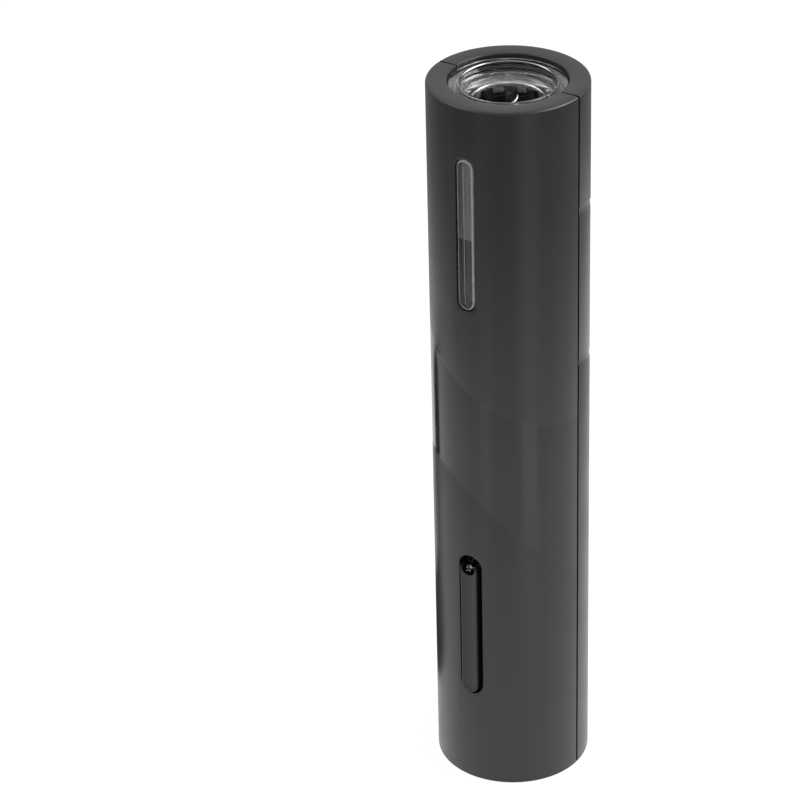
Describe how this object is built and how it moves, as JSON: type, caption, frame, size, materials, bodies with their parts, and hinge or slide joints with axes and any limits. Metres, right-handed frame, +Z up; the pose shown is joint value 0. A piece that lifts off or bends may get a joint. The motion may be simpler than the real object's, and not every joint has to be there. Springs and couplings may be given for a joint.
{
  "type": "electric wine opener",
  "caption": "Upright cylindrical electric corkscrew with a clear bottle collar, a sight window, a rocker button and a geared motor that turns the worm.",
  "frame": {"origin": "centre of the base, where it rests", "axes": "+Z up the body towards the bottle mouth; the window and the rocker face -Y; the casing splits on the plane y = 0"},
  "size_m": [0.052, 0.0533, 0.2527],
  "materials": {
    "casing": "satin black moulded plastic, with a glossier sash",
    "button": "smooth black moulded plastic",
    "clear": "clear moulded plastic",
    "frame": "plain black moulded plastic",
    "steel": "turned steel",
    "worm": "polished steel wire",
    "motor": "drawn and plated steel can",
    "board": "green solder mask",
    "light_board": "white solder mask",
    "switch": "moulded plastic",
    "led": "clear resin over a yellow die",
    "cell": null,
    "nickel": "nickel plate",
    "bronze": "sintered bronze",
    "gear": "natural engineering plastic",
    "lead_red": "soft insulation",
    "lead_black": "soft insulation"
  },
  "bodies": {
    "casing": {"front_shell": "casing", "rear_shell": "casing", "window_lens": "clear", "bottle_collar": "clear", "chamber_frame": "frame", "rocker_pin": "steel", "indicator_lens": "clear", "indicator_led": "led", "main_board": "board", "switch_upper": "switch", "switch_lower": "switch", "board_screw_low": "steel", "board_screw_high": "steel", "charge_board": "board", "charge_socket": "nickel", "battery_cell": "cell", "battery_cradle": "frame", "battery_tab_pos": "nickel", "battery_tab_neg": "nickel", "motor_can": "motor", "motor_end_cap": "frame", "motor_plate": "steel", "motor_screw_left": "steel", "motor_screw_right": "steel", "ring_gear": "gear", "gearbox_cover": "frame", "output_bushing": "bronze", "thrust_bearing": "steel", "led_board": "light_board", "chamber_led_left": "led", "chamber_led_right": "led", "shell_screw_left_low": "steel", "shell_screw_left_mid": "steel", "shell_screw_left_high": "steel", "shell_screw_right_low": "steel", "shell_screw_right_mid": "steel", "shell_screw_right_high": "steel", "motor_lead_pos": "lead_red", "motor_lead_neg": "lead_black", "battery_lead_pos": "lead_red", "battery_lead_neg": "lead_black", "led_lead": "lead_black"},
    "spindle": {"carrier_two": "steel", "worm_hub": "steel", "hub_pin": "steel", "worm": "worm"},
    "first_carrier": {"carrier_one": "steel"},
    "motor_rotor": {"motor_shaft": "steel", "sun_pinion": "steel"},
    "rocker": {"rocker_button": "button"},
    "upper_plunger": {"plunger_upper": "switch"},
    "lower_plunger": {"plunger_lower": "switch"},
    "one_planet_a": {"planet_one_a": "gear"},
    "one_planet_b": {"planet_one_b": "gear"},
    "one_planet_c": {"planet_one_c": "gear"},
    "two_planet_a": {"planet_two_a": "gear"},
    "two_planet_b": {"planet_two_b": "gear"},
    "two_planet_c": {"planet_two_c": "gear"}
  },
  "joints": [
    {"name": "worm_spin", "type": "hinge", "parent": "casing", "child": "spindle", "pos_m": [0, 0, 0.175], "axis": [0, 0, 1], "continuous": true},
    {"name": "second_planet_a_spin", "type": "hinge", "parent": "spindle", "child": "two_planet_a", "pos_m": [0.0108, 0, 0.156], "axis": [0, 0, 1], "continuous": true},
    {"name": "second_planet_b_spin", "type": "hinge", "parent": "spindle", "child": "two_planet_b", "pos_m": [-0.0054, 0.00935, 0.156], "axis": [0, 0, 1], "continuous": true},
    {"name": "second_planet_c_spin", "type": "hinge", "parent": "spindle", "child": "two_planet_c", "pos_m": [-0.0054, -0.00935, 0.156], "axis": [0, 0, 1], "continuous": true},
    {"name": "first_carrier_spin", "type": "hinge", "parent": "casing", "child": "first_carrier", "pos_m": [0, 0, 0.151], "axis": [0, 0, 1], "continuous": true},
    {"name": "first_planet_a_spin", "type": "hinge", "parent": "first_carrier", "child": "one_planet_a", "pos_m": [0.0108, 0, 0.146], "axis": [0, 0, 1], "continuous": true},
    {"name": "first_planet_b_spin", "type": "hinge", "parent": "first_carrier", "child": "one_planet_b", "pos_m": [-0.0054, 0.00935, 0.146], "axis": [0, 0, 1], "continuous": true},
    {"name": "first_planet_c_spin", "type": "hinge", "parent": "first_carrier", "child": "one_planet_c", "pos_m": [-0.0054, -0.00935, 0.146], "axis": [0, 0, 1], "continuous": true},
    {"name": "motor_spin", "type": "hinge", "parent": "casing", "child": "motor_rotor", "pos_m": [0, 0, 0.138], "axis": [0, 0, 1], "continuous": true},
    {"name": "rocker_press", "type": "hinge", "parent": "casing", "child": "rocker", "pos_m": [0, -0.0205, 0.06185], "axis": [1, 0, 0], "range_deg": [-1.8, 1.8], "stiffness_Nm_per_rad": 1.6},
    {"name": "upper_plunger_slide", "type": "slide", "parent": "casing", "child": "upper_plunger", "axis": [0, 1, 0], "range_m": [-0.00055, 0.00055]},
    {"name": "lower_plunger_slide", "type": "slide", "parent": "casing", "child": "lower_plunger", "axis": [0, 1, 0], "range_m": [-0.00055, 0.00055]}
  ],
  "couplings": [
    {"joint": "second_planet_a_spin", "follows": "worm_spin", "ratio": -2.8},
    {"joint": "second_planet_b_spin", "follows": "worm_spin", "ratio": -2.8},
    {"joint": "second_planet_c_spin", "follows": "worm_spin", "ratio": -2.8},
    {"joint": "first_carrier_spin", "follows": "worm_spin", "ratio": 4.5},
    {"joint": "first_planet_a_spin", "follows": "worm_spin", "ratio": -12.6},
    {"joint": "first_planet_b_spin", "follows": "worm_spin", "ratio": -12.6},
    {"joint": "first_planet_c_spin", "follows": "worm_spin", "ratio": -12.6},
    {"joint": "motor_spin", "follows": "worm_spin", "ratio": 20.25},
    {"joint": "upper_plunger_slide", "follows": "rocker_press", "m_per_rad": -0.017},
    {"joint": "lower_plunger_slide", "follows": "rocker_press", "m_per_rad": 0.017}
  ]
}
